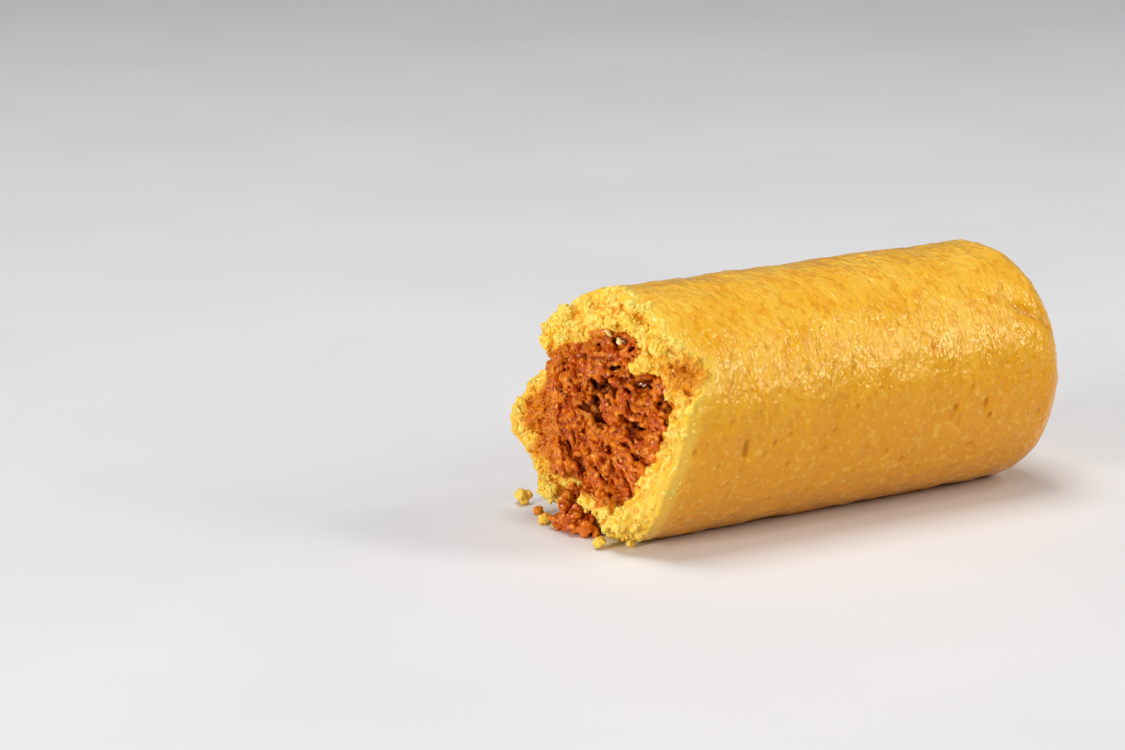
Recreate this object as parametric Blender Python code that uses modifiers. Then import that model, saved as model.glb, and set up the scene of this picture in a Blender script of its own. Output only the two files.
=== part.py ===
"""The longer half of a corn tamale that was broken in two: a thick masa wall round a meat filling.

The roll lies on the floor along Y. Its rounded, closed end points to +Y and its torn end to -Y,
and the origin is on the floor under the middle of its length. Angles run round the roll in
degrees, from +X (0) over the top (90) to -X (180) and the floor (270). A station is a distance
along the roll, measured from the tip of the closed end towards the torn end.
"""

import math

import bpy
from mathutils import Vector, noise

MM = 0.001

# Driving dimensions
DIAMETER = 36.0 * MM  # of the machine-rolled tamale
LENGTH = 78.8 * MM  # from the closed end to the tip of the longest torn lip
FLAT_DEPTH = 1.0 * MM  # how far the underside has settled flat on the floor
END_DEPTH = 8.6 * MM  # length of the rounded closed end
END_POWER = 2.35  # 2 would make the closed end an ellipsoid, more makes it squarer
WALL = 5.5 * MM  # mean masa between the skin and the filling
CLOSED_WALL = 7.0 * MM  # masa past the filling's closed end
GAP = 0.3 * MM  # between the masa and the filling
RIM = 72.4 * MM  # mean station of the torn skin
RIM_LEAN = 0.8 * MM
FILLING_FACE = 74.2 * MM  # mean station of the broken filling
FACE_LEAN = 2.9 * MM  # the break leans: it lies this much deeper on the side of LEAN_ANGLE
LEAN_ANGLE = 20.0
FILLING_SHIFT = Vector((0.5 * MM, 0.0, 0.4 * MM))  # the filling runs a little off the axis
TEAR_REACH = 16.0 * MM  # length of wall that the tear pulls longer or shorter

# What the tear left on the edge of the skin: angle, half-width in degrees, reach towards -Y
TEARS = (
    (-31.0, 38.0, 3.9 * MM),  # long near side
    (29.0, 11.0, -3.6 * MM),  # notch in the near side
    (74.0, 4.0, 1.1 * MM),  # point on top
    (142.0, 8.0, 2.8 * MM),  # upper far point
    (170.0, 7.0, -4.3 * MM),  # far notch
    (190.0, 21.0, 5.6 * MM),  # far lip, the longest
    (228.0, 12.0, 3.9 * MM),  # lower far lip
)
# Where the torn wall stands out between the skin and the filling: angle, half-width, reach
SWELLINGS = (
    (-62.0, 26.0, 4.0 * MM),  # heavy crumb at the bottom
    (45.0, 18.0, 2.6 * MM),  # crumb hanging over the filling
    (110.0, 22.0, 1.4 * MM),  # crumb on top
)

# Filling that has spilled through the crack in the underside
SPILL_CENTRE = Vector((-4.6 * MM, -35.8 * MM, 3.0 * MM))
SPILL_RADII = Vector((4.2 * MM, 2.9 * MM, 4.4 * MM))

# Shallow crease on the shoulder of the closed end: angle, station, length, width, depth
CREASE = (36.0, 10.0 * MM, 5.0 * MM, 1.3 * MM, 0.7 * MM)

WALL_SEGMENTS = 72
FILLING_SEGMENTS = 48
SPILL_SUBDIVISIONS = 3

RADIUS = DIAMETER / 2
AXIS_HEIGHT = RADIUS - FLAT_DEPTH
BORE = RADIUS - WALL  # radius of the hollow that the filling runs through


def start_afresh():
    for thing in list(bpy.data.objects):
        bpy.data.objects.remove(thing, do_unlink=True)


def new_collection(name):
    collection = bpy.data.collections.new(name)
    bpy.context.scene.collection.children.link(collection)
    return collection


def finish_of(name, colour, roughness):
    """A Principled material with one colour and roughness."""
    material = bpy.data.materials.new(name)
    material.use_nodes = True
    shader = material.node_tree.nodes["Principled BSDF"]
    shader.inputs["Base Color"].default_value = (*colour, 1.0)
    shader.inputs["Roughness"].default_value = roughness
    shader.inputs["Metallic"].default_value = 0.0
    return material


def rounded_end(radius, depth, start, steps):
    """Profile of a rounded end from its rim to its pole, as (radius, station) pairs."""
    points = []
    for step in range(steps + 1):
        turn = math.pi / 2 * (1 - step / steps)
        across = math.sin(turn) ** (2 / END_POWER)
        along = math.cos(turn) ** (2 / END_POWER)
        points.append((radius * across, start + depth * (1 - along)))
    return points


def stations(first, last, count):
    return [first + (last - first) * step / count for step in range(count + 1)]


def turned(name, profile, segments, collection):
    """Closed body of revolution round Z, its height being the station, by a Screw modifier."""
    mesh = bpy.data.meshes.new(name)
    points = [(radius, 0.0, station) for radius, station in profile]
    edges = [(index, index + 1) for index in range(len(points) - 1)]
    mesh.from_pydata(points, edges, [])
    body = bpy.data.objects.new(name, mesh)
    collection.objects.link(body)
    screw = body.modifiers.new("turn", "SCREW")
    screw.axis = "Z"
    screw.steps = screw.render_steps = segments
    screw.use_merge_vertices = True
    screw.merge_threshold = 0.00001
    applied(body)
    return body


def applied(body):
    """Replaces the body's mesh by what its modifiers make of it."""
    bpy.context.view_layer.update()
    evaluated = body.evaluated_get(bpy.context.evaluated_depsgraph_get())
    mesh = bpy.data.meshes.new_from_object(evaluated)
    body.modifiers.clear()
    body.data = mesh


def moved(body, place):
    """Moves each vertex of the body to where the function place puts it."""
    for vertex in body.data.vertices:
        vertex.co = place(vertex.co)
    body.data.update()


def hump(angle, marks):
    """Sum of smooth humps round the roll, one for each (angle, half-width, reach)."""
    total = 0.0
    for centre, half_width, reach in marks:
        offset = (angle - centre + 180.0) % 360.0 - 180.0
        total += reach * math.exp(-((offset / half_width) ** 2))
    return total


def rough(point, grain, size):
    """Uneven value within about the given size, which changes over the length of the grain."""
    return size * noise.noise(point / grain)


def face_station(angle, radius):
    """Station of the broken filling, a plane that leans across the roll."""
    return FILLING_FACE - FACE_LEAN * math.cos(math.radians(angle - LEAN_ANGLE)) * radius / BORE


def torn_station(angle, depth):
    """Station of the torn wall at an angle, and at a depth from 0, the skin, to 1, the filling."""
    edge = RIM - RIM_LEAN * math.cos(math.radians(angle - LEAN_ANGLE)) + hump(angle, TEARS)
    inner = face_station(angle, BORE)
    swelling = hump(angle, SWELLINGS) * math.sin(math.pi * min(depth * 1.1, 1.0))
    return edge + (inner - edge) * depth**1.3 + swelling


def crease_depth(angle, station):
    """Depth of the shoulder's crease, a smooth furrow along the roll."""
    at_angle, at_station, length, width, depth = CREASE
    across = RADIUS * math.radians(angle - at_angle) / width
    along = (station - at_station) / length
    return depth * math.exp(-(across**2) - along**2)


def laid_down(angle, radius, station, depth):
    """Point of the lying roll, flattened where it rests and shifted with its depth in the wall."""
    turn = math.radians(angle)
    across = Vector((radius * math.cos(turn), 0.0, radius * math.sin(turn)))
    point = Vector((0.0, LENGTH / 2 - station, AXIS_HEIGHT)) + across + FILLING_SHIFT * depth
    point.z = max(point.z, 0.0)
    return point


def read_turned(point):
    """Angle, radius and station of a point on a turned body."""
    return math.degrees(math.atan2(point.y, point.x)), math.hypot(point.x, point.y), point.z


def wall_depth(radius, station):
    """Depth in the wall of a point of the plain turned wall: 0 on the skin, 1 in the bore."""
    if station > RIM - 0.1 * MM:
        return min(max((RADIUS - radius) / WALL, 0.0), 1.0)
    in_bore = radius < BORE + 0.1 * MM and station > CLOSED_WALL - 0.1 * MM
    return 1.0 if in_bore else 0.0


def wall_point(point):
    """Point of the finished masa for a point of the plain turned wall."""
    angle, radius, station = read_turned(point)
    depth = wall_depth(radius, station)
    if depth == 0.0:
        waver = rough(point, 14.0 * MM, 0.25 * MM) - crease_depth(angle, station)
        radius += waver * min(radius / RADIUS * 2.0, 1.0)
    pull = min(max((station - RIM + TEAR_REACH) / TEAR_REACH, 0.0), 1.0)
    pull = pull * pull * (3.0 - 2.0 * pull)
    crumb = rough(point + Vector((0.0, 0.0, depth * 4.0 * MM)), 2.6 * MM, 1.0 * MM)
    station += (torn_station(angle, depth) - RIM + crumb * math.sin(math.pi * depth)) * pull
    return laid_down(angle, radius, station, depth)


def filling_point(point):
    """Point of the finished filling for a point of the plain turned core."""
    angle, radius, station = read_turned(point)
    if station > FILLING_FACE - 0.1 * MM:
        inwards = 1.0 - radius / BORE
        relief = rough(point, 4.0 * MM, 2.2 * MM) + rough(point, 1.9 * MM, 1.0 * MM)
        station = face_station(angle, radius) + relief * min(inwards * 4.0, 1.0)
    return laid_down(angle, radius, station, 1.0)


def make_masa(collection):
    """Masa wall: bore, torn face, skin and rounded end, as one turned profile run outer side down."""
    inner = rounded_end(BORE, END_DEPTH * 0.7, CLOSED_WALL, 4)[::-1]
    bore = [(BORE, s) for s in stations(CLOSED_WALL + END_DEPTH * 0.7, RIM, 8)[1:]]
    face = [(r, RIM) for r in stations(BORE, RADIUS, 5)[1:]]
    skin = [(RADIUS, s) for s in stations(RIM, END_DEPTH, 18)[1:-1]]
    outer = rounded_end(RADIUS, END_DEPTH, 0.0, 8)
    masa = turned("masa", inner + bore + face + skin + outer, WALL_SEGMENTS, collection)
    moved(masa, wall_point)
    return masa


def make_core(collection):
    """Filling inside the wall, with its broken face."""
    core_end = CLOSED_WALL + GAP
    radius = BORE - GAP
    centre = [(r, FILLING_FACE) for r in stations(0.0, radius, 8)]
    side = [(radius, s) for s in stations(FILLING_FACE, core_end + END_DEPTH * 0.7, 8)[1:-1]]
    end = rounded_end(radius, END_DEPTH * 0.7, core_end, 4)
    filling = turned("filling", centre + side + end, FILLING_SEGMENTS, collection)
    moved(filling, filling_point)
    return filling


def make_lump(name, grown, collection):
    """Spilled clump of filling, larger all round by grown, with an uneven surface."""
    bpy.ops.mesh.primitive_ico_sphere_add(subdivisions=SPILL_SUBDIVISIONS, radius=1.0)
    lump = bpy.context.active_object
    lump.name = lump.data.name = name
    for holder in list(lump.users_collection):
        holder.objects.unlink(lump)
    collection.objects.link(lump)
    radii = SPILL_RADII + Vector((grown, grown, grown))

    def place(direction):
        uneven = 1.0 + rough(direction, 0.55, 0.16)
        offset = Vector(a * b for a, b in zip(direction, radii)) * uneven
        point = SPILL_CENTRE + offset
        floor = 0.02 * MM if grown == 0.0 else -GAP
        return Vector((point.x, point.y, max(point.z, floor)))

    moved(lump, place)
    return lump


def boolean(body, tool, operation):
    modifier = body.modifiers.new(operation.lower(), "BOOLEAN")
    modifier.operation = operation
    modifier.solver = "EXACT"
    modifier.object = tool
    tool.hide_render = True
    tool.display_type = "WIRE"


def main():
    start_afresh()
    tamale = new_collection("tamale")
    cutters = new_collection("cutters")

    masa = make_masa(tamale)
    boolean(masa, make_lump("crack", GAP, cutters), "DIFFERENCE")
    masa.data.materials.append(finish_of("steamed corn masa", (0.83, 0.49, 0.07), 0.45))

    filling = make_core(tamale)
    boolean(filling, make_lump("spill", 0.0, cutters), "UNION")
    filling.data.materials.append(finish_of("chilli beef filling", (0.44, 0.11, 0.02), 0.35))

    for body in (masa, filling):
        body.data.shade_smooth()
        body.data.set_sharp_from_angle(angle=math.radians(50))


main()
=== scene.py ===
"""Looks of the longer half of a corn tamale that was broken in two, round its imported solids.

The roll lies along Y with its closed end at +Y and its torn end at -Y. Angles run round it in
degrees from +X (0) over the top (90) to -X (180) and the floor (270). A station is a distance
along the roll from the tip of the closed end. Depth in the wall runs from 0, the skin, to 1,
the filling. Lengths are in metres.
"""

import math

import bpy
import numpy as np
from mathutils import Matrix, Vector


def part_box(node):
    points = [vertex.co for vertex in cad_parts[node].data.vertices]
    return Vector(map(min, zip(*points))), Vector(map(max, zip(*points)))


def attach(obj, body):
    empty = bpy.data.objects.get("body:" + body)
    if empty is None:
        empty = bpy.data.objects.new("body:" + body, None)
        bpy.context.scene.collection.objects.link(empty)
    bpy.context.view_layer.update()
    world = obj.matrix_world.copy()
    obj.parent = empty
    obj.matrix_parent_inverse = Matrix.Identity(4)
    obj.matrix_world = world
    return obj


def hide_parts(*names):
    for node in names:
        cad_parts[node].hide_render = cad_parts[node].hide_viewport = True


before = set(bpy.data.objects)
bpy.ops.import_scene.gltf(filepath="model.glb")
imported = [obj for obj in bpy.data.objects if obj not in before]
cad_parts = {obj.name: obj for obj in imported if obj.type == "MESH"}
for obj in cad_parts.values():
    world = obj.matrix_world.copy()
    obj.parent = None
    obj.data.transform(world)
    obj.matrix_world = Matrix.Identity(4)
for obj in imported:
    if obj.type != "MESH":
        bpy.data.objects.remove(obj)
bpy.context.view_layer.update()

MM = 0.001

# ---------------------------------------------------------------- sizes of the roll, as built

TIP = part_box("masa")[1].y
RADIUS = 18.0 * MM
AXIS_HEIGHT = 17.0 * MM
END_DEPTH = 8.6 * MM
END_POWER = 2.35
WALL = 5.5 * MM
BORE = RADIUS - WALL
CLOSED_WALL = 7.0 * MM
FILLING_SHIFT = np.array((0.5, 0.0, 0.4)) * MM
GAP = 0.3 * MM

RIM = 72.4 * MM
RIM_LEAN = 0.8 * MM
FILLING_FACE = 74.2 * MM
FACE_LEAN = 2.9 * MM
LEAN_ANGLE = 20.0
TEAR_REACH = 16.0 * MM

# What the tear left on the skin's edge: angle, half-width in degrees, reach in millimetres
TEARS = (
    (-31.0, 38.0, 3.9),
    (29.0, 11.0, -3.6),
    (74.0, 4.0, 1.1),
    (142.0, 8.0, 2.8),
    (165.0, 6.0, -4.2),
    (193.0, 22.0, 5.6),
    (228.0, 12.0, 3.9),
)
# Where the torn wall stands out between skin and filling, in the same terms
SWELLINGS = (
    (-62.0, 26.0, 4.0),
    (45.0, 18.0, 2.6),
    (110.0, 22.0, 1.4),
)
# Split in the underside that the filling spills through
CRACK = ((252.0, 6.5, -8.0),)
# Where masa crumb lies over the filling's edge, in the same terms
OVERLAP = (
    (190.0, 32.0, -2.8),
    (238.0, 20.0, -1.6),
    (266.0, 12.0, -1.0),
    (-22.0, 30.0, -2.3),
    (49.0, 9.0, -3.0),
    (116.0, 15.0, -1.8),
)

# ---------------------------------------------------------------- repeatable noise

EDGES = np.array([
    (1, 1, 0), (-1, 1, 0), (1, -1, 0), (-1, -1, 0), (1, 0, 1), (-1, 0, 1), (1, 0, -1), (-1, 0, -1),
    (0, 1, 1), (0, -1, 1), (0, 1, -1), (0, -1, -1), (1, 1, 0), (-1, 1, 0), (0, -1, 1), (0, -1, -1),
], float)


def hashed(cells, salt):
    """Repeatable 32-bit whole numbers for rows of three whole numbers, by mixing their bits."""
    x, y, z = np.moveaxis(cells.astype(np.int64).astype(np.uint32), -1, 0)
    bits = x * np.uint32(0x8DA6B343) ^ y * np.uint32(0xD8163841) ^ z * np.uint32(0xCB1AB31F)
    bits ^= np.uint32((salt * 0x9E3779B9) & 0xFFFFFFFF)
    for shift, factor in ((16, 0x7FEB352D), (15, 0x846CA68B)):
        bits ^= bits >> np.uint32(shift)
        bits *= np.uint32(factor)
    return bits ^ (bits >> np.uint32(16))


def noise(points, size, salt=0):
    """Smooth values within about -1 to 1 that change over size: gradient noise, in which each
    corner of a cubic cell of that size pulls along a direction picked by its hash."""
    scaled = np.asarray(points, float) / size
    cell = np.floor(scaled)
    inside = scaled - cell
    fade = inside**3 * (inside * (inside * 6.0 - 15.0) + 10.0)
    total = np.zeros(scaled.shape[:-1])
    for corner in np.ndindex(2, 2, 2):
        corner = np.array(corner, float)
        pull = EDGES[hashed(cell + corner, salt) & np.uint32(15)]
        share = np.prod(np.where(corner == 1.0, fade, 1.0 - fade), axis=-1)
        total += share * np.einsum("...i,...i->...", pull, inside - corner)
    return total


def cells(points, size, salt=0):
    """Distances, in sizes, to the nearest and second nearest of scattered points, one in each
    cubic cell of that size, and a number from 0 to 1 that belongs to the nearest."""
    scaled = np.asarray(points, float) / size
    cell = np.floor(scaled)
    near = np.full(scaled.shape[:-1], 9.0)
    second = near.copy()
    own = np.zeros(near.shape)
    for step in np.ndindex(3, 3, 3):
        here = cell + (np.array(step, float) - 1.0)
        jitter = [hashed(here, salt + 11 * k) / 2.0**32 for k in range(3)]
        gap = np.linalg.norm(here + np.stack(jitter, -1) - scaled, axis=-1)
        closer = gap < near
        second = np.where(closer, near, np.minimum(second, gap))
        own = np.where(closer, hashed(here, salt + 77) / 2.0**32, own)
        near = np.where(closer, gap, near)
    return near, second, own


def ramp(value, low, high):
    """0 below low, 1 above high, and a smooth S between."""
    part = np.clip((value - low) / (high - low), 0.0, 1.0)
    return part * part * (3.0 - 2.0 * part)


# ---------------------------------------------------------------- form of the torn roll


def humps(angle, marks):
    """Sum of smooth humps round the roll, in metres, one for each (angle, half-width, reach)."""
    total = np.zeros(np.shape(angle))
    for centre, half_width, reach in marks:
        offset = (angle - centre + 180.0) % 360.0 - 180.0
        total = total + reach * MM * np.exp(-((offset / half_width) ** 2))
    return total


def face_station(angle, radius):
    """Station of the broken filling, a plane that leans across the roll."""
    return FILLING_FACE - FACE_LEAN * np.cos(np.radians(angle - LEAN_ANGLE)) * radius / BORE


def torn_station(angle, depth):
    """Station of the torn wall: the skin's edge at depth 0 runs over to the filling's face at
    depth 1, with a swelling between them that is highest near the middle."""
    edge = RIM - RIM_LEAN * np.cos(np.radians(angle - LEAN_ANGLE)) + humps(angle, TEARS)
    inner = face_station(angle, BORE)
    swelling = humps(angle, SWELLINGS) * np.sin(math.pi * np.minimum(depth * 1.1, 1.0))
    gully = humps(angle, CRACK) * (1.0 - 0.5 * depth)
    return edge + (inner - edge) * depth**1.3 + swelling + gully


def inner_radius(angle):
    """Radius at which the crumb gives way to the filling."""
    return BORE + humps(angle, OVERLAP)


def laid_down(angle, radius, station, depth):
    """Points of the lying roll, flattened where it rests, shifted off the axis with depth."""
    turn = np.radians(angle)
    across = np.stack([radius * np.cos(turn), TIP - station, radius * np.sin(turn)], axis=-1)
    points = across + np.array((0.0, 0.0, AXIS_HEIGHT)) + FILLING_SHIFT * depth[..., None]
    points[..., 2] = np.maximum(points[..., 2], 0.0)
    return points


# ---------------------------------------------------------------- meshes


def closed_loft(rings):
    """Points and faces of a closed body from rings of points (M, N, 3): neighbouring rings are
    joined by quads, and the first and last ring are closed by fans to their own middles."""
    count, around = rings.shape[:2]
    poles = [rings[0].mean(axis=0), rings[-1].mean(axis=0)]
    points = np.vstack([rings.reshape(-1, 3), poles])
    here = np.arange(count * around).reshape(count, around)
    beside = np.roll(here, -1, axis=1)
    quads = np.stack([here[:-1], here[1:], beside[1:], beside[:-1]], axis=-1).reshape(-1, 4)
    pole = np.full(around, count * around)
    first = np.stack([pole, here[0], beside[0]], axis=-1)
    last = np.stack([pole + 1, beside[-1], here[-1]], axis=-1)
    return points, [quads, first, last]


def ring_loft(rings):
    """Points and faces of a closed tyre-like body from rings (M, N, 3), the last joined to the first."""
    count, around = rings.shape[:2]
    here = np.arange(count * around).reshape(count, around)
    beside = np.roll(here, -1, axis=1)
    quads = np.stack([here, beside, np.roll(beside, -1, 0), np.roll(here, -1, 0)], axis=-1)
    return rings.reshape(-1, 3), [quads.reshape(-1, 4)]


def copies(points, faces):
    """One set of faces for K copies of a body, whose points are (K, V, 3)."""
    first = np.arange(len(points))[:, None, None] * points.shape[1]
    return points.reshape(-1, 3), [(group[None] + first).reshape(-1, group.shape[1]) for group in faces]


def joined(*bodies):
    """Several (points, faces) as one."""
    points, faces, start = [], [], 0
    for body_points, body_faces in bodies:
        points.append(body_points)
        faces += [group + start for group in body_faces]
        start += len(body_points)
    return np.vstack(points), faces


def mesh_of(name, points, faces):
    """Mesh from points and groups of faces, each group a (count, corners) array."""
    mesh = bpy.data.meshes.new(name)
    corners = np.concatenate([group.ravel() for group in faces])
    sizes = np.concatenate([np.full(len(group), group.shape[1]) for group in faces])
    mesh.vertices.add(len(points))
    mesh.vertices.foreach_set("co", points.astype(np.float32).ravel())
    mesh.loops.add(len(corners))
    mesh.loops.foreach_set("vertex_index", corners.astype(np.int32))
    mesh.polygons.add(len(sizes))
    mesh.polygons.foreach_set("loop_start", (np.cumsum(sizes) - sizes).astype(np.int32))
    mesh.update(calc_edges=True)
    mesh.validate()
    mesh.shade_smooth()
    return mesh


def points_of(mesh):
    found = np.empty(len(mesh.vertices) * 3, np.float32)
    mesh.vertices.foreach_get("co", found)
    return found.reshape(-1, 3).astype(float)


def normals_of(mesh):
    found = np.empty(len(mesh.vertices) * 3, np.float32)
    mesh.vertex_normals.foreach_get("vector", found)
    return found.reshape(-1, 3).astype(float)


def set_points(mesh, points):
    mesh.vertices.foreach_set("co", points.astype(np.float32).ravel())
    mesh.update()


def mark(mesh, name, values):
    """Stores one number for each point, which a material reads by its name."""
    attribute = mesh.attributes.new(name, "FLOAT", "POINT")
    attribute.data.foreach_set("value", np.asarray(values, np.float32))


def sunk(mesh, rounds):
    """How far each point lies under its surroundings: the mesh is averaged with its neighbours
    for some rounds, and the move that gives is measured along the normal."""
    points = points_of(mesh)
    ends = np.empty(len(mesh.edges) * 2, np.int32)
    mesh.edges.foreach_get("vertices", ends)
    first, second = ends.reshape(-1, 2).T
    count = len(points)
    neighbours = np.bincount(ends, minlength=count)[:, None]
    calm = points
    for _ in range(rounds):
        total = np.stack([
            np.bincount(first, calm[second, k], count) + np.bincount(second, calm[first, k], count)
            for k in range(3)
        ], axis=-1)
        calm = (calm + total / neighbours) / 2
    return np.einsum("ij,ij->i", calm - points, normals_of(mesh))


def piece(name, mesh, material, node=None):
    """Object for a finished mesh, riding on the roll and standing for its solid."""
    made = bpy.data.objects.new(name, mesh)
    bpy.context.scene.collection.objects.link(made)
    mesh.materials.append(material)
    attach(made, "root")
    if node:
        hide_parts(node)
    return made


def fused(name, points, faces, voxel, smoothing):
    """Overlapping bodies made one skin, as wet crumbs cling: a voxel remesh, then smoothing.
    The remesh works in millimetres."""
    rough = bpy.data.objects.new(name, mesh_of(name, points / MM, faces))
    bpy.context.scene.collection.objects.link(rough)
    remesh = rough.modifiers.new("fuse", "REMESH")
    remesh.mode = "VOXEL"
    remesh.voxel_size = voxel / MM
    smooth = rough.modifiers.new("soften", "SMOOTH")
    smooth.factor = 0.5
    smooth.iterations = smoothing
    bpy.context.view_layer.update()
    graph = bpy.context.evaluated_depsgraph_get()
    mesh = bpy.data.meshes.new_from_object(rough.evaluated_get(graph))
    bpy.data.objects.remove(rough)
    set_points(mesh, points_of(mesh) * MM)
    mesh.shade_smooth()
    mesh.name = name
    return mesh


# ---------------------------------------------------------------- small bodies


def unit(vectors):
    return vectors / np.linalg.norm(vectors, axis=-1, keepdims=True)


def turns(count, draw):
    """Random rotation matrices (count, 3, 3), each from a random unit quaternion."""
    w, x, y, z = np.moveaxis(unit(draw.normal(size=(count, 4))), -1, 0)
    rows = (
        (1 - 2 * (y * y + z * z), 2 * (x * y - w * z), 2 * (x * z + w * y)),
        (2 * (x * y + w * z), 1 - 2 * (x * x + z * z), 2 * (y * z - w * x)),
        (2 * (x * z - w * y), 2 * (y * z + w * x), 1 - 2 * (x * x + y * y)),
    )
    return np.stack([np.stack(row, -1) for row in rows], -2)


def crumbs(centres, radii, draw, uneven=0.4, flat=0.3, rings=5, around=8):
    """Joined lumps: balls on a grid of latitude and longitude, each stretched by up to flat along
    its own axes, turned at random, and swollen and pinched by noise of up to uneven."""
    count = len(centres)
    latitude = np.linspace(0.0, math.pi, rings + 2)[1:-1, None]
    longitude = np.linspace(0.0, 2 * math.pi, around, endpoint=False)[None]
    ball = np.stack([
        np.sin(latitude) * np.cos(longitude),
        np.sin(latitude) * np.sin(longitude),
        np.cos(latitude) + 0.0 * longitude,
    ], axis=-1)
    shape, faces = closed_loft(ball)
    shape[-2:] = ((0.0, 0.0, 1.0), (0.0, 0.0, -1.0))
    stretch = 1.0 + draw.uniform(-flat, flat, (count, 1, 3))
    seen_at = shape[None] + draw.uniform(-99.0, 99.0, (count, 1, 3))
    swell = 1.0 + uneven * (noise(seen_at, 0.9, 5) + 0.5 * noise(seen_at, 0.45, 6))[..., None]
    local = shape[None] * stretch * swell * radii[:, None, None]
    return copies(np.einsum("kij,kvj->kvi", turns(count, draw), local) + centres[:, None], faces)


def strung(middles, along, lengths, widths, draw):
    """Centres and radii of beads strung along shallow bows: pulled shreds, lumpy along their
    length and blunt at their ends."""
    count = len(middles)
    run = np.linspace(-0.5, 0.5, 13)[:, None]
    side = unit(np.cross(along, draw.normal(size=(count, 3))))
    lift = np.cross(along, side)
    bow = draw.uniform(-0.25, 0.25, (count, 2, 1, 1)) * (1.0 - 4.0 * run**2)
    path = along[:, None] * run + side[:, None] * bow[:, 0] + lift[:, None] * bow[:, 1]
    centres = middles[:, None] + path * lengths[:, None, None]
    radii = widths[:, None] / 2 * draw.uniform(0.75, 1.2, (count, 13))
    return centres.reshape(-1, 3), radii.ravel()


# ---------------------------------------------------------------- masa

SKIN_AROUND = 290
SKIN_ROWS = 250
END_ROWS = 62
# Holes in the skin: angle, station, half-length round the roll, half-width along it, depth (mm)
PITS = (
    (352.5, 62.1, 1.6, 0.5, 0.55),
    (355.1, 24.7, 0.6, 0.5, 0.55),
    (355.5, 19.1, 0.8, 0.5, 0.5),
    (348.7, 18.2, 0.5, 0.45, 0.45),
    (333.5, 20.5, 0.6, 0.6, 0.4),
    (353.1, 57.1, 0.5, 0.45, 0.35),
    (348.2, 58.8, 0.5, 0.45, 0.3),
    (340.8, 54.3, 0.7, 0.45, 0.3),
    (345.4, 48.2, 0.5, 0.45, 0.3),
    (354.9, 71.0, 0.5, 0.45, 0.35),
    (354.5, 46.8, 0.8, 0.6, 0.25),
    (23.3, 50.4, 0.9, 0.5, 0.3),
    (22.4, 42.5, 0.9, 0.5, 0.3),
)
CREASE = ((44.0, 11.8), (36.0, 10.0), (31.0, 7.2), (27.0, 4.6))  # angle, station in mm
CREASE_WIDTH = 1.1 * MM
CREASE_DEPTH = 0.75 * MM


def pitted(angle, station):
    """Depth of the small holes in the skin: oval bowls with a soft lip, slanting a little. The
    listed ones come first, then a scatter of finer ones, most of them low on the sides."""
    draw = np.random.default_rng(7)
    low = draw.uniform(180.0, 370.0, 110)
    anywhere = draw.uniform(0.0, 360.0, 60)
    size = draw.uniform(0.22, 0.45, 170)
    fine = np.stack([
        np.concatenate([low, anywhere]), draw.uniform(3.0, 70.0, 170),
        size * draw.uniform(0.8, 1.6, 170), size, size * draw.uniform(0.4, 0.8, 170),
    ], axis=-1)
    depth = np.zeros(angle.shape)
    for at_angle, at_station, length, width, deep in (*PITS, *fine):
        offset = (angle - at_angle + 180.0) % 360.0 - 180.0
        across = RADIUS * np.radians(offset) / (length * MM)
        along = (station - at_station * MM) / (width * MM) + 0.35 * across
        depth = np.maximum(depth, deep * MM * np.exp(-((across**2 + along**2) ** 1.4)))
    return depth


def outline_radius(station):
    """Radius of the skin's outline at a station: a superellipse over the closed end."""
    back = np.clip(1.0 - station / END_DEPTH, 0.0, 1.0)
    return RADIUS * (1.0 - back**END_POWER) ** (1.0 / END_POWER)


def creased(points):
    """Depth of the crease over the shoulder: a furrow along a line of a few points, shallower
    towards its upper end."""
    angle, station = np.array(CREASE).T
    turn, station = np.radians(angle), station * MM
    reach = outline_radius(station)
    line = np.stack([reach * np.cos(turn), TIP - station, AXIS_HEIGHT + reach * np.sin(turn)], -1)
    gap = np.full(points.shape[:-1], 1.0)
    for start, end in zip(line[:-1], line[1:]):
        leg = end - start
        part = np.clip(((points - start) @ leg) / (leg @ leg), 0.0, 1.0)
        gap = np.minimum(gap, np.linalg.norm(points - start - part[..., None] * leg, axis=-1))
    fade = 0.4 + 0.6 * ramp(np.linalg.norm(points - line[0], axis=-1), 0.0, 3.0 * MM)
    return CREASE_DEPTH * np.exp(-((gap / CREASE_WIDTH) ** 2)) * fade


def skin_relief(points, station):
    """How far the skin stands out from the plain roll: a slow waver, shallow lumps, and short
    ridges of about 1 mm drawn out round the roll, with rounder grains on the closed end. The
    underside lay pressed flat in its liner, so its ridges are fainter."""
    drawn_out = points * np.array((0.8, 1.0, 0.8))
    near, _, own = cells(drawn_out, 0.85 * MM, 9)
    pebbles = own * (1.0 - near**2)
    ridges = noise(drawn_out, 0.95 * MM, 3) + 0.6 * noise(drawn_out, 0.6 * MM, 4)
    grains = noise(points, 1.1 * MM, 13) + 0.5 * noise(points, 0.7 * MM, 14)
    end = ramp(station, 3.0 * MM, 11.0 * MM)
    pressed = 0.5 + 0.5 * ramp(points[..., 2], 0.75 * AXIS_HEIGHT, 1.2 * AXIS_HEIGHT)
    crown = 1.0 - 0.5 * ramp(points[..., 2], 1.5 * AXIS_HEIGHT, 2.0 * AXIS_HEIGHT)
    patchy = pressed * (0.85 + 0.9 * noise(points, 7.0 * MM, 21))
    return (
        0.24 * MM * noise(points, 13.0 * MM, 1)
        + 0.17 * MM * noise(points, 4.5 * MM, 2)
        + 0.12 * MM * noise(points, 2.2 * MM, 22)
        + 0.085 * MM * patchy * crown * (ridges * end + grains * (1.2 - end))
        + 0.1 * MM * patchy * pebbles
    )


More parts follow.
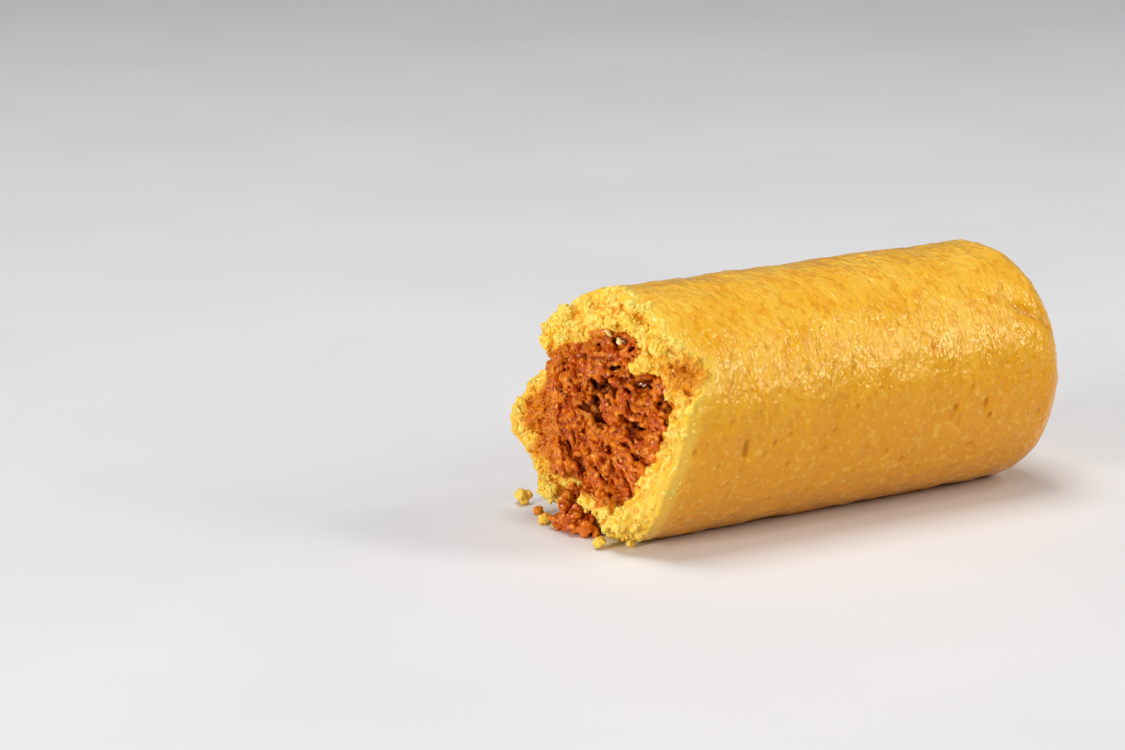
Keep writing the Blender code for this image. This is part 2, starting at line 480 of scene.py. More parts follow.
def torn_clean(angle):
    """1 on the near side, where the masa tore cleanly, falling to 0 elsewhere."""
    return np.exp(-((((angle + 28.0 + 180.0) % 360.0 - 180.0) / 36.0) ** 2))


def edge_waver(angle, depth):
    """Raggedness of the skin's torn edge: two sizes of noise read round the edge, gentle on the
    near side, where the skin tore cleanly."""
    turn = np.radians(angle)
    ring = np.stack([RADIUS * np.cos(turn), RADIUS * np.sin(turn), 9.0 * MM + 0.0 * turn], axis=-1)
    rough = 0.8 * MM * noise(ring, 2.4 * MM, 31) + 0.45 * MM * noise(ring, 1.1 * MM, 32)
    return rough * (1.0 - 0.7 * torn_clean(angle)) * (1.0 - depth)


def make_masa_wall(material):
    """Skin, torn edge and hollow as one closed loft along a profile, outside in. Rows follow the
    superellipse of the closed end, the straight side, a rounded edge of 1.2 mm, the torn face
    (sunk a little, because the torn crumb lies on it) and the hollow back to its own end."""
    turn = np.linspace(0.02, math.pi / 2, END_ROWS)
    end_radius = RADIUS * np.sin(turn) ** (2 / END_POWER)
    end_station = END_DEPTH * (1 - np.cos(turn) ** (2 / END_POWER))
    side_station = np.linspace(END_DEPTH, RIM, SKIN_ROWS)[1:]
    curl = np.linspace(0.0, math.pi / 2, 6)[1:]
    face_depth = np.linspace(0.25, 1.0, 5)
    bore_station = np.linspace(RIM, CLOSED_WALL + END_DEPTH, 8)[1:]
    inner_turn = np.linspace(math.pi / 2, 0.05, 6)[1:]

    radius = np.concatenate([
        end_radius, np.full(len(side_station), RADIUS), RADIUS - 1.2 * MM * (1 - np.cos(curl)),
        RADIUS - WALL * face_depth, np.full(len(bore_station), BORE), BORE * np.sin(inner_turn),
    ])
    station = np.concatenate([
        end_station, side_station, RIM + 0.6 * MM * np.sin(curl), np.full(len(face_depth), RIM),
        bore_station, CLOSED_WALL + END_DEPTH * (1 - np.cos(inner_turn)),
    ])
    skin_rows = len(end_station) + len(side_station)
    curl_rows = skin_rows + len(curl)
    face_rows = curl_rows + len(face_depth)
    depth = np.zeros(len(radius))
    depth[curl_rows:face_rows] = face_depth
    depth[face_rows:] = 1.0

    angle = np.linspace(0.0, 360.0, SKIN_AROUND, endpoint=False)[None] + 0.0 * radius[:, None]
    radius, station, depth = (v[:, None] + 0.0 * angle for v in (radius, station, depth))
    pull = ramp(station, RIM - TEAR_REACH, RIM)
    torn = torn_station(angle, depth) + edge_waver(angle, depth) - (1.0 + 1.5 * ramp(depth, 0.2, 0.5)) * MM
    station = station + (torn - RIM) * pull
    plain = laid_down(angle, radius, station, depth)

    pits = pitted(angle, station) * (depth == 0.0)
    relief = skin_relief(plain, station) - pits - creased(plain)
    relief[skin_rows:] *= np.linspace(1.0, 0.0, len(radius) - skin_rows)[:, None] ** 4
    turn = np.radians(angle)
    sideways = np.stack([np.cos(turn), 0.0 * turn, np.sin(turn)], axis=-1)
    endways = np.array((0.0, 1.0, 0.0)) * (1.0 - np.sqrt(ramp(station, 0.0, END_DEPTH)))[..., None]
    outward = unit(sideways * (radius / RADIUS)[..., None] ** 1.5 + endways)
    shaped = plain + outward * relief[..., None]
    shaped[..., 2] = np.maximum(shaped[..., 2], 0.0)
    mesh = mesh_of("masa_wall", *closed_loft(shaped[:, ::-1]))

    # Painted shade: the skin is tinted darker amber where this mark finds pits and furrows.
    mark(mesh, "sunk", ramp(sunk(mesh, 12), 0.02 * MM, 0.2 * MM))
    near_tear = 1.0 - ramp(torn - station, 0.3 * MM, 3.5 * MM)
    mark(mesh, "torn", np.concatenate([near_tear[:, ::-1].ravel(), (0.0, 0.0)]))
    # Painted shade: the skin's lower side is tinted darker and more orange by this mark.
    mark(mesh, "low", 1.0 - ramp(points_of(mesh)[:, 2], 12.0 * MM, 30.0 * MM))
    return piece("masa_wall", mesh, material, "masa")


def on_torn_face(angle, depth, out):
    """Points on the torn wall, standing out by out along the roll."""
    radius = RADIUS - (RADIUS - inner_radius(angle)) * depth
    station = torn_station(angle, np.minimum(depth, 1.0)) + edge_waver(angle, np.minimum(depth, 1.0))
    return laid_down(angle, radius, station + out, depth)


# Larger knots of crumb on the torn face: x and z from the filling's axis, station, radius (mm)
KNOTS = (
    (-1.6, 12.9, 73.6, 1.9),
    (1.2, 13.5, 73.3, 1.7),
    (6.9, 8.0, 73.4, 1.2),
    (8.2, 9.4, 72.8, 1.5),
    (10.5, 8.6, 70.2, 1.9),
    (12.4, 6.9, 70.8, 1.3),
    (14.0, 5.3, 71.8, 1.3),
    (15.2, 4.6, 71.4, 0.9),
    (8.4, -8.2, 73.0, 1.7),
    (10.4, -6.4, 72.6, 1.4),
    (-1.5, -12.3, 75.8, 1.4),
    (0.6, -13.0, 75.6, 1.3),
    (7.6, -13.8, 76.4, 1.4),
    (4.6, -12.2, 77.0, 1.5),
    (-8.9, 12.6, 74.8, 1.6),
    (-12.9, 8.3, 75.2, 1.4),
    (-15.0, -1.2, 78.0, 1.3),
    (-14.4, -7.2, 76.2, 1.3),
)


def make_torn_masa(material, grain_material):
    """Crumbly face of the torn wall: a ring that follows the tear, buried under granules of
    0.5 to 2 mm that cling together, all fused into one skin and roughened by fine noise."""
    draw = np.random.default_rng(11)

    def lumpy(angle, depth):
        points = on_torn_face(angle, depth, 0.0)
        lumps = 1.4 * MM * noise(points, 3.4 * MM, 41) + 0.8 * MM * noise(points, 1.8 * MM, 42)
        lumps = lumps + 0.5 * MM * noise(points, 1.0 * MM, 46)
        near, second, _ = cells(points, 4.2 * MM, 45)
        lumps = lumps - 1.7 * MM * (1.0 - ramp(second - near, 0.0, 0.3))
        clean = torn_clean(angle)
        rise = np.sin(math.pi * np.clip(depth, 0.0, 0.85))
        edge = 1.0 - np.sqrt(1.0 - (1.0 - np.clip(depth / 0.3, 0.0, 1.0)) ** 2)
        return lumps * rise * (1.0 - 0.8 * clean) - (0.7 - 0.45 * clean + 1.35 * edge) * MM

    angle = np.linspace(0.0, 360.0, 240, endpoint=False)[None]
    depth = np.linspace(0.02, 1.05, 22)[:, None] + 0.0 * angle
    angle = angle + 0.0 * depth
    top = on_torn_face(angle, depth, lumpy(angle, depth))
    back = on_torn_face(angle, depth, -2.8 * MM)[::-1]
    base = ring_loft(np.concatenate([top, back]))

    angle = draw.uniform(0.0, 360.0, 5200)
    depth = draw.beta(0.9, 1.0, 5200) * 1.08
    smooth = torn_clean(angle) * (1.0 - ramp(depth, 0.45, 1.0))
    kept = draw.uniform(0.0, 1.0, 5200) > 0.9 * smooth
    angle, depth = angle[kept], depth[kept]
    count = len(angle)
    size = np.clip(draw.lognormal(math.log(0.34), 0.42, count), 0.24, 0.95) * MM
    size = size * (1.0 - 0.35 * torn_clean(angle))
    depth = np.maximum(depth, (0.9 * size - 0.1 * MM) / WALL)
    out = lumpy(angle, depth) + draw.uniform(-0.5, 0.55, count) * size
    centres = on_torn_face(angle, depth, out)
    centres[:, 2] = np.maximum(centres[:, 2], 0.6 * size)
    granules = crumbs(centres, size, draw, 0.6, 0.35)

    x, z, station, radius = np.array(KNOTS).T * MM
    knots = in_filling(x, station, z)
    outward = unit(draw.normal(size=(18 * len(knots), 3)))
    near = np.repeat(knots, 18, axis=0) + outward * 0.8 * np.repeat(radius, 18)[:, None]
    sizes = np.repeat(radius, 18) * draw.uniform(0.18, 0.42, 18 * len(knots))
    knotted = crumbs(np.vstack([knots, near]), np.concatenate([radius * 0.8, sizes]), draw, 0.6)

    mesh = fused("masa_torn_face", *joined(base, granules, knotted), 0.205 * MM, 1)
    points, normals = points_of(mesh), normals_of(mesh)
    fine = 0.10 * MM * noise(points, 0.9 * MM, 43) + 0.08 * MM * noise(points, 0.45 * MM, 44)
    points = points + normals * fine[:, None]
    points[:, 2] = np.maximum(points[:, 2], 0.0)
    set_points(mesh, points)
    stain = stained(points)
    mark(mesh, "stain", ramp(stain, 0.0, 0.6))
    mark(mesh, "soaked", ramp(stain, 0.35, 0.9))
    # Painted shade: the crumb's crevices are tinted deeper amber by this mark.
    sunken = ramp(sunk(mesh, 30), -0.3 * MM, 0.3 * MM)
    mark(mesh, "sunk", sunken)
    piece("masa_torn_face", mesh, material)
    make_torn_grains(grain_material, points_of(mesh), normals_of(mesh), sunken)


def make_torn_grains(material, points, normals, sunken):
    """Grains of 0.3 to 0.7 mm half sunk in the torn crumb wherever it faces out of the tear, few
    where the masa tore cleanly. Each takes half the painted crevice shade of the crumb under it."""
    draw = np.random.default_rng(12)
    clean = torn_clean(np.degrees(np.arctan2(points[:, 2] - AXIS_HEIGHT, points[:, 0])))
    facing = (normals[:, 1] < 0.2) & (draw.uniform(0.0, 1.0, len(points)) > 0.8 * clean)
    chosen = draw.choice(np.flatnonzero(facing), 3000, replace=False)
    size = np.clip(draw.lognormal(math.log(0.22), 0.35, 3000), 0.14, 0.4) * MM
    centres = points[chosen] - normals[chosen] * 0.15 * size[:, None]
    centres[:, 2] = np.maximum(centres[:, 2], 1.3 * size)
    mesh = mesh_of("masa_torn_grains", *crumbs(centres, size, draw, 0.5, 0.3, 3, 6))
    points = points_of(mesh)
    points[:, 2] = np.maximum(points[:, 2], 0.0)
    set_points(mesh, points)
    stain = stained(points)
    mark(mesh, "stain", ramp(stain, 0.0, 0.6))
    mark(mesh, "soaked", ramp(stain, 0.35, 0.9))
    # Painted shade: half the crevice shade of the crumb below.
    mark(mesh, "sunk", 0.5 * np.repeat(sunken[chosen], len(points) // 3000))
    piece("masa_torn_grains", mesh, material)


def stained(points):
    """How far chilli fat has soaked into the masa, 1 next to the filling and 0 about 2 mm away,
    uneven, further on the far wall and, thinner, in the notch at the upper near side."""
    x, _, z = np.moveaxis(points - np.array((0.0, 0.0, AXIS_HEIGHT)) - FILLING_SHIFT, -1, 0)
    angle = np.degrees(np.arctan2(z, x))
    gap = np.hypot(x, z) - inner_radius(angle)
    far = ramp(-x, 2.0 * MM, 10.0 * MM) * ramp(z, -13.0 * MM, -7.0 * MM) * (1.0 - ramp(z, 4.0 * MM, 10.0 * MM))
    notch = np.exp(-(((angle - 31.0) / 13.0) ** 2))
    uneven = 1.0 + 0.9 * noise(points, 2.4 * MM, 51)
    full = (-0.2 + 2.6 * far) * MM
    reach = full + np.maximum((0.9 + 3.9 * far) * uneven, 0.3) * MM
    return np.maximum(1.0 - ramp(gap, full, reach), 0.5 * notch * np.clip(uneven, 0.4, 1.4))


# ---------------------------------------------------------------- filling

# Dark hollows between the clumps of the broken face: x, z from the filling's axis, half-length,
# half-width, slope of the length in degrees, depth (mm)
HOLLOWS = (
    (0.4, 3.0, 1.9, 1.6, 0.0, 4.2),
    (-3.2, 3.7, 1.7, 1.2, 0.0, 3.4),
    (-3.4, 0.7, 1.5, 1.1, 0.0, 3.2),
    (-1.3, -0.9, 2.2, 1.0, -30.0, 3.2),
    (6.2, 5.0, 2.1, 1.3, -25.0, 2.8),
    (10.4, 3.6, 1.6, 1.0, -45.0, 1.8),
    (11.4, 1.0, 1.2, 0.9, 0.0, 1.2),
    (5.4, -1.2, 1.6, 1.1, -50.0, 2.3),
    (4.8, -3.0, 1.3, 0.8, 0.0, 1.8),
    (7.2, -4.6, 1.2, 1.1, 0.0, 2.8),
    (-7.6, -4.6, 1.6, 1.0, -50.0, 2.6),
    (-4.4, -7.2, 2.4, 1.1, -35.0, 3.2),
    (-4.2, -10.8, 2.0, 1.2, -10.0, 2.8),
    (4.5, 7.0, 1.2, 0.9, 80.0, 2.0),
    (0.2, 6.9, 1.1, 0.7, 0.0, 1.8),
)


def hollowed(x, z):
    """Depth of the hollows at a place across the filling."""
    depth = np.zeros(np.shape(x))
    for at_x, at_z, length, width, slope, deep in HOLLOWS:
        slope = math.radians(slope)
        off_x, off_z = x - at_x * MM, z - at_z * MM
        along = (off_x * math.cos(slope) + off_z * math.sin(slope)) / (length * MM)
        across = (off_z * math.cos(slope) - off_x * math.sin(slope)) / (width * MM)
        depth = np.maximum(depth, deep * MM * np.exp(-((along**2 + across**2) ** 1.3)))
    return depth


def clumped(x, z):
    """Station of the broken face at a place across the filling: the leaning plane, clumps of
    5 mm and 2.5 mm with creases between cells of 3 mm, and the dark hollows."""
    angle = np.degrees(np.arctan2(z, x))
    flat = np.stack([x, 0.0 * x, z], axis=-1)
    relief = 1.4 * MM * noise(flat, 4.6 * MM, 61) + 0.8 * MM * noise(flat, 2.3 * MM, 62)
    near, second, _ = cells(flat, 3.0 * MM, 66)
    relief = relief - 0.9 * MM * (1.0 - ramp(second - near, 0.0, 0.25))
    relief = relief - hollowed(x, z)
    middle = 1.0 - ramp(np.hypot(x, z), 0.75 * BORE, 0.98 * BORE)
    return face_station(angle, np.hypot(x, z)) + relief * (0.35 + 0.65 * middle) - 0.8 * MM * (1.0 - middle)


def in_filling(x, station, z):
    return np.stack([x, TIP - station, z + AXIS_HEIGHT], axis=-1) + FILLING_SHIFT


def make_filling_core(material):
    """Core that runs through the masa: rounded inner end, straight side, and an uneven face
    that lies 2.4 mm under the meat of the break, as one closed loft."""
    radius_limit = BORE - GAP
    inner_turn = np.linspace(0.1, math.pi / 2, 8)
    side_station = np.linspace(CLOSED_WALL + GAP + END_DEPTH, FILLING_FACE - 6.0 * MM, 24)[1:]
    face_radius = np.linspace(1.0, 0.04, 14)
    radius = radius_limit * np.concatenate([np.sin(inner_turn), np.ones(len(side_station)), face_radius])
    station = np.concatenate([
        CLOSED_WALL + GAP + END_DEPTH * (1 - np.cos(inner_turn)), side_station,
        np.full(len(face_radius), FILLING_FACE),
    ])
    turn = np.linspace(0.0, 2 * math.pi, 72, endpoint=False)[None]
    x, z = radius[:, None] * np.cos(turn), radius[:, None] * np.sin(turn)
    station = station[:, None] + 0.0 * turn
    face = slice(len(radius) - len(face_radius), None)
    station[face] = clumped(x[face], z[face]) - 2.4 * MM
    points = in_filling(x, station, z)
    mesh = mesh_of("filling_core", *closed_loft(points[:, ::-1]))
    # Painted shade: the core is marked fully deep and sunk, so it is coloured dark brown all over, as shade where
    # it shows through gaps in the meat.
    mark(mesh, "deep", np.ones(len(mesh.vertices)))
    mark(mesh, "sunk", np.ones(len(mesh.vertices)))
    return piece("filling_core", mesh, material, "filling")


def on_meat(draw, count, low, high):
    """Random places across the filling's face and a width for each between low and high mm."""
    around = draw.uniform(0.0, 2 * math.pi, count)
    size = draw.uniform(low, high, count) * MM
    limit = inner_radius(np.degrees(around)) - 0.5 * size
    at = limit * np.sqrt(draw.uniform(0.0, 1.0, count))
    return at * np.cos(around), at * np.sin(around), size


def mark_meat(mesh, depths):
    """Marks how deep each point lies under the broken face, and how far it is sunk locally. The
    material darkens the meat by both marks, as painted shade.
    """
    points = points_of(mesh)
    x, y, z = np.moveaxis(points - np.array((0.0, 0.0, AXIS_HEIGHT)) - FILLING_SHIFT, -1, 0)
    surface = face_station(np.degrees(np.arctan2(z, x)), np.hypot(x, z))
    mark(mesh, "deep", ramp(surface - (TIP - y), 0.5 * MM, 2.4 * MM))
    mark(mesh, "sunk", depths)


def make_broken_meat(material):
    """Minced meat at the break: a disk that follows the clumps, under crumbles of 0.8 to 2 mm,
    all fused and roughened."""
    draw = np.random.default_rng(23)
    turn = np.linspace(0.0, 2 * math.pi, 120, endpoint=False)[None]
    limit = inner_radius(np.degrees(turn)) + 0.3 * MM
    share = np.linspace(0.03, 1.0, 24)[:, None]
    x, z = limit * share * np.cos(turn), limit * share * np.sin(turn)
    top = in_filling(x, clumped(x, z) - 0.75 * MM, z)
    back = in_filling(x, clumped(x, z) - 3.0 * MM, z)[::-1]
    base = closed_loft(np.concatenate([top, back])[:, ::-1])

    x, z, size = on_meat(draw, 1250, 0.3, 0.62)
    lumps = crumbs(
        in_filling(x, clumped(x, z) + draw.uniform(-0.8, 1.1, 1250) * size, z), size, draw, 0.35, 0.35)
    mesh = fused("filling_meat", *joined(base, lumps), 0.184 * MM, 1)
    points, normals = points_of(mesh), normals_of(mesh)
    fine = 0.04 * MM * noise(points, 0.8 * MM, 63) + 0.02 * MM * noise(points, 0.4 * MM, 64)
    set_points(mesh, points + normals * fine[:, None])
    # Painted shade: the mince is darkened in its crevices and depths by these marks.
    mark_meat(mesh, ramp(sunk(mesh, 25), -0.08 * MM, 0.28 * MM))
    return piece("filling_meat", mesh, material)


def make_meat_shreds(material):
    """Pulled shreds of 0.4 to 1 mm lying over the mince: they hang steeply on the far side and
    slant down towards the near side elsewhere, and the top of the break has none."""
    draw = np.random.default_rng(24)
    x, z, width = on_meat(draw, 420, 0.55, 0.85)
    kept = (z < (4.5 + 2.0 * draw.normal(size=420)) * MM) & (hollowed(x, z) < 1.0 * MM)
    x, z, width = x[kept], z[kept], width[kept]
    count = len(x)
    steep = ramp(-x, 2.0 * MM, 7.0 * MM)
    slant = unit(np.stack([
        0.8 - 0.5 * steep + draw.normal(0.0, 0.3, count),
        draw.normal(-0.1, 0.22, count),
        -0.55 - 0.35 * steep + draw.normal(0.0, 0.3, count),
    ], axis=-1))
    lift = draw.uniform(-0.2, 0.75, count)
    middles = in_filling(x, clumped(x, z) + lift * width, z)
    lengths = draw.uniform(1.6, 4.6, count) * MM
    inside = np.hypot(x + slant[:, 0] * lengths / 2, z + slant[:, 2] * lengths / 2)
    lengths = np.where(inside > BORE, 0.55 * lengths, lengths)
    beads, radii = strung(middles, slant, lengths, width, draw)
    mesh = fused("filling_shreds", *crumbs(beads, radii, draw, 0.35), 0.145 * MM, 1)
    points = points_of(mesh)
    fine = 0.04 * MM * noise(points, 0.7 * MM, 67) + 0.02 * MM * noise(points, 0.4 * MM, 68)
    set_points(mesh, points + normals_of(mesh) * fine[:, None])
    # Painted shade: the shreds are darkened in their crevices and depths by these marks.
    mark_meat(mesh, ramp(sunk(mesh, 20), -0.05 * MM, 0.25 * MM))
    return piece("filling_shreds", mesh, material)


def make_spill(material):
    """Clump that fell through the crack: crumbles and short shreds heaped on the floor under the
    split and up into it, fused."""
    draw = np.random.default_rng(29)
    heap = draw.normal(size=(150, 3)) * np.array((1.6, 0.9, 1.4)) * MM + np.array((-3.6, -36.7, 1.0)) * MM
    channel = np.linspace(0.0, 1.0, 40)[:, None]
    channel = (1.0 - channel) * np.array((-5.2, -35.0, 5.6)) * MM + channel * np.array((-4.6, -35.8, 1.5)) * MM
    channel = channel + draw.normal(size=(40, 3)) * np.array((0.7, 0.5, 0.3)) * MM
    centres = np.vstack([heap, channel])
    count = len(centres)
    size = draw.uniform(0.4, 0.85, count) * MM
    centres[:, 2] = np.maximum(np.abs(centres[:, 2]), 0.75 * size)
    centres[:, 1] = np.maximum(centres[:, 1], -TIP + size)
    lumps = crumbs(centres, size, draw, 0.4, 0.4)
    along = unit(draw.normal(size=(26, 3)) * np.array((1.0, 0.8, 0.3)))
    middles = centres[:26] + np.array((0.0, 0.0, 0.4 * MM))
    beads = strung(middles, along, draw.uniform(1.8, 3.6, 26) * MM, draw.uniform(0.6, 0.9, 26) * MM, draw)
    mesh = fused("filling_spill", *joined(lumps, crumbs(*beads, draw, 0.35)), 0.14 * MM, 1)
    points, normals = points_of(mesh), normals_of(mesh)
    points = points + normals * (0.04 * MM * noise(points, 0.7 * MM, 65))[:, None]
    points[:, 2] = np.maximum(points[:, 2], 0.02 * MM)
    set_points(mesh, points)
    mark(mesh, "deep", np.zeros(len(points)))
    # Painted shade: the spill is darkened in its crevices by this mark.
    mark(mesh, "sunk", ramp(sunk(mesh, 25), -0.05 * MM, 0.35 * MM))
    return piece("filling_spill", mesh, material)


# Pale grains of corn caught on top of the filling: x, z from the filling's axis, radius (mm)
CORN_GRAINS = ((0.9, 12.1, 0.5), (3.0, 11.3, 0.52))
# Masa crumbs on the floor at the tear: x, y, radius (mm)
FALLEN = (
    (-20.0, -35.2, 1.45),
    (-13.8, -36.6, 0.85),
    (-9.2, -38.6, 1.15),
    (-7.0, -38.4, 0.5),
    (5.8, -39.0, 1.1),
    (7.6, -35.2, 0.75),
)


def make_corn_grains(material):
    draw = np.random.default_rng(31)
    x, z, size = np.array(CORN_GRAINS).T * MM
    centres = in_filling(x, clumped(x, z) + 2.0 * MM, z)
    mesh = mesh_of("corn_grains", *crumbs(centres, size, draw, 0.35, 0.35, 12, 16))
    return piece("corn_grains", mesh, material)


def make_fallen_crumbs(material):
    """Crumbs lying on the floor: each is a knot of small granules fused."""
    draw = np.random.default_rng(37)
    x, y, size = np.array(FALLEN).T * MM
    middles = np.stack([x, y, 0.78 * size], axis=-1)
    spread = unit(draw.normal(size=(len(size), 14, 3))) * np.array((0.62, 0.62, 0.5))
    around = middles[:, None] + spread * size[:, None, None]
    sizes = draw.uniform(0.25, 0.5, (len(size), 14)) * size[:, None]
    granules = crumbs(
        np.vstack([middles, around.reshape(-1, 3)]), np.concatenate([0.75 * size, sizes.ravel()]), draw)
    mesh = fused("masa_crumbs", *granules, 0.12 * MM, 1)
    points = points_of(mesh)
    points[:, 2] = np.maximum(points[:, 2], 0.0)
    set_points(mesh, points)
    soaked = np.linalg.norm(points[:, :2] - np.array((-12.6, -37.2)) * MM, axis=-1)
    mark(mesh, "stain", 1.0 - 0.7 * ramp(soaked, 2.0 * MM, 5.0 * MM))
    mark(mesh, "soaked", 0.6 - 0.6 * ramp(soaked, 1.2 * MM, 3.5 * MM))
    # Painted shade: the crumbs' crevices are tinted deeper amber by this mark.
    mark(mesh, "sunk", ramp(sunk(mesh, 20), -0.25 * MM, 0.3 * MM))
    return piece("masa_crumbs", mesh, material)


# ---------------------------------------------------------------- materials


def linear(hex_colour):
    """Linear red, green, blue and alpha of an sRGB hex colour."""
    values = [int(hex_colour[k:k + 2], 16) / 255 for k in (1, 3, 5)]
    return tuple(v / 12.92 if v <= 0.04045 else ((v + 0.055) / 1.055) ** 2.4 for v in values) + (1.0,)


def add(tree, kind, inputs, **settings):
    """Adds a node with its settings. An input is linked where it is given a node, whose first
    output in use is taken, or a socket, and it is set where it is given a value."""
    made = tree.nodes.new(kind)
    for name, value in settings.items():
        setattr(made, name, value)
    for name, value in inputs.items():
        socket = next(s for s in made.inputs if s.enabled and s.name == name)
        if isinstance(value, bpy.types.Node):
            value = next(s for s in value.outputs if s.enabled)
        if isinstance(value, bpy.types.NodeSocket):
            tree.links.new(value, socket)
        else:
            socket.default_value = value
    return made


def new_material(name):
    """Empty material, its tree, and the place on the object that its patterns read."""
    material = bpy.data.materials.new(name)
    material.use_nodes = True
    material.node_tree.nodes.clear()
    place = add(material.node_tree, "ShaderNodeTexCoord", {}).outputs["Object"]
    return material, material.node_tree, place


def specked(tree, place, under, tint, size, low, high, most):
    """Colour with patches of a tint over it: a noise whose patches are about size across, taken
    as a smooth step from low to high, lays the tint on up to most."""
    patches = add(tree, "ShaderNodeTexNoise", {"Vector": place, "Scale": 1.0 / size, "Detail": 2.0})
    step = {"Value": patches, "From Min": low, "From Max": high, "To Max": most}
    share = add(tree, "ShaderNodeMapRange", step, interpolation_type="SMOOTHSTEP")
    return add(tree, "ShaderNodeMix", {"Factor": share, "A": under, "B": tint}, data_type="RGBA")


def tinted(tree, attribute, under, tint, most):
    """Colour with a tint over it, up to most, where the mesh's own attribute says."""
    read = add(tree, "ShaderNodeAttribute", {}, attribute_name=attribute).outputs["Fac"]
    share = add(tree, "ShaderNodeMapRange", {"Value": read, "To Max": most}, interpolation_type="SMOOTHSTEP")
    return add(tree, "ShaderNodeMix", {"Factor": share, "A": under, "B": tint}, data_type="RGBA")


def surfaced(tree, place, colour, grit, height, values):
    """Shader over a colour, with grit finer than the mesh as a bump of a given height."""
    rough = {"Vector": place, "Scale": 1.0 / grit, "Detail": 1.0, "Roughness": 0.5}
    bump = add(tree, "ShaderNodeBump", {
        "Height": add(tree, "ShaderNodeTexNoise", rough), "Strength": 1.0, "Distance": height,
    })
    shader = add(tree, "ShaderNodeBsdfPrincipled", {"Base Color": colour, "Normal": bump, **values})
    add(tree, "ShaderNodeOutputMaterial", {"Surface": shader})


def filmed(tree, place, size, wet, dry):
    """Roughness that wanders from wet to dry between patches of a size, as a thin film does."""
    patches = add(tree, "ShaderNodeTexNoise", {"Vector": place, "Scale": 1.0 / size, "Detail": 1.0})
    step = {"Value": patches, "From Min": 0.4, "From Max": 0.62, "To Min": wet, "To Max": dry}
    return add(tree, "ShaderNodeMapRange", step, interpolation_type="SMOOTHSTEP")


def steamed_masa():
    """Steamed corn masa skin: moist, dense and golden, with paler and more orange corn specks of
    about a millimetre, paler where it tore. Painted shade makes it darker amber in its pits
    and furrows, and darker and more orange on its lower side. A thin wet film over its short
    ridges gives sharp small glints."""
    material, tree, place = new_material("steamed corn masa skin")
    colour = specked(tree, place, linear("#F3B42C"), linear("#F9C242"), 7.0 * MM, 0.35, 0.65, 1.0)
    # Painted shade on the lower side, darker and more orange.
    colour = tinted(tree, "low", colour, linear("#EA9C04"), 0.88)
    colour = specked(tree, place, colour, linear("#E2930A"), 3.0 * MM, 0.54, 0.72, 0.55)
    colour = specked(tree, place, colour, linear("#E3950A"), 1.3 * MM, 0.5, 0.68, 0.6)
    colour = specked(tree, place, colour, linear("#FBCB50"), 1.0 * MM, 0.54, 0.7, 0.5)
    colour = tinted(tree, "torn", colour, linear("#FBCC4A"), 0.75)
    # Painted shade in the skin's pits and furrows.
    colour = tinted(tree, "sunk", colour, linear("#CE7E02"), 0.65)
    ridged = add(tree, "ShaderNodeMapping", {"Vector": place, "Scale": (0.65, 1.0, 0.65)}).outputs["Vector"]
    surfaced(tree, ridged, colour, 0.66 * MM, 0.22 * MM, {
        "Roughness": filmed(tree, place, 5.0 * MM, 0.1, 0.24),
        "IOR": 1.45,
        "Specular Tint": (1.0, 0.88, 0.6, 1.0),
        "Subsurface Weight": 0.3,
        "Subsurface Radius": (1.0, 0.55, 0.15),
        "Subsurface Scale": 1.0 * MM,
    })
    return material


def torn_masa(name, glow):
    """The same masa torn open: pale lemon crumb, softer and drier than the skin, stained orange
    by chilli fat towards the filling. Painted shade tints its crevices a deeper amber. Light
    goes into it by the share called glow."""
    material, tree, place = new_material(name)
    colour = specked(tree, place, linear("#FFD750"), linear("#FFE470"), 2.5 * MM, 0.35, 0.65, 1.0)
    colour = specked(tree, place, colour, linear("#F8BA26"), 1.4 * MM, 0.5, 0.7, 0.7)
    # Painted shade in the crumb's crevices.
    colour = tinted(tree, "sunk", colour, linear("#F2A312"), 0.85)
    colour = tinted(tree, "stain", colour, linear("#EFA01C"), 0.9)
    orange = specked(tree, place, linear("#DE8210"), linear("#CC600C"), 1.8 * MM, 0.35, 0.65, 1.0)
    colour = tinted(tree, "soaked", colour, orange, 0.95)
    surfaced(tree, place, colour, 0.45 * MM, 0.12 * MM, {
        "Roughness": filmed(tree, place, 2.0 * MM, 0.22, 0.42),
        "IOR": 1.42,
        "Specular Tint": (1.0, 0.92, 0.7, 1.0),
        "Subsurface Weight": glow,
        "Subsurface Radius": (1.0, 0.8, 0.35),
        "Subsurface Scale": 1.3 * MM,
    })
    return material


def chilli_beef():
    """Minced and shredded beef stewed in chilli: orange-brown crumbles and fibres under a film
    of red fat, so it shines in small wet spots. Painted shade darkens it to brown in its
    crevices and depths."""
    material, tree, place = new_material("chilli stewed beef")
    colour = specked(tree, place, linear("#C04A06"), linear("#E47A14"), 2.2 * MM, 0.35, 0.65, 1.0)
    colour = specked(tree, place, colour, linear("#8E2A04"), 1.3 * MM, 0.5, 0.68, 0.8)
    colour = specked(tree, place, colour, linear("#F6A02C"), 0.9 * MM, 0.53, 0.68, 0.8)
    # Painted shade: darker red-brown in crevices and dark brown in the depths of the break.
    colour = tinted(tree, "sunk", colour, linear("#6A1602"), 0.93)
    colour = tinted(tree, "deep", colour, linear("#541404"), 0.85)
    surfaced(tree, place, colour, 0.45 * MM, 0.06 * MM, {
        "Roughness": 0.13,
        "IOR": 1.5,
        "Specular Tint": (1.0, 0.8, 0.6, 1.0),
        "Subsurface Weight": 0.15,
        "Subsurface Radius": (1.0, 0.3, 0.1),
        "Subsurface Scale": 0.6 * MM,
    })
    return material


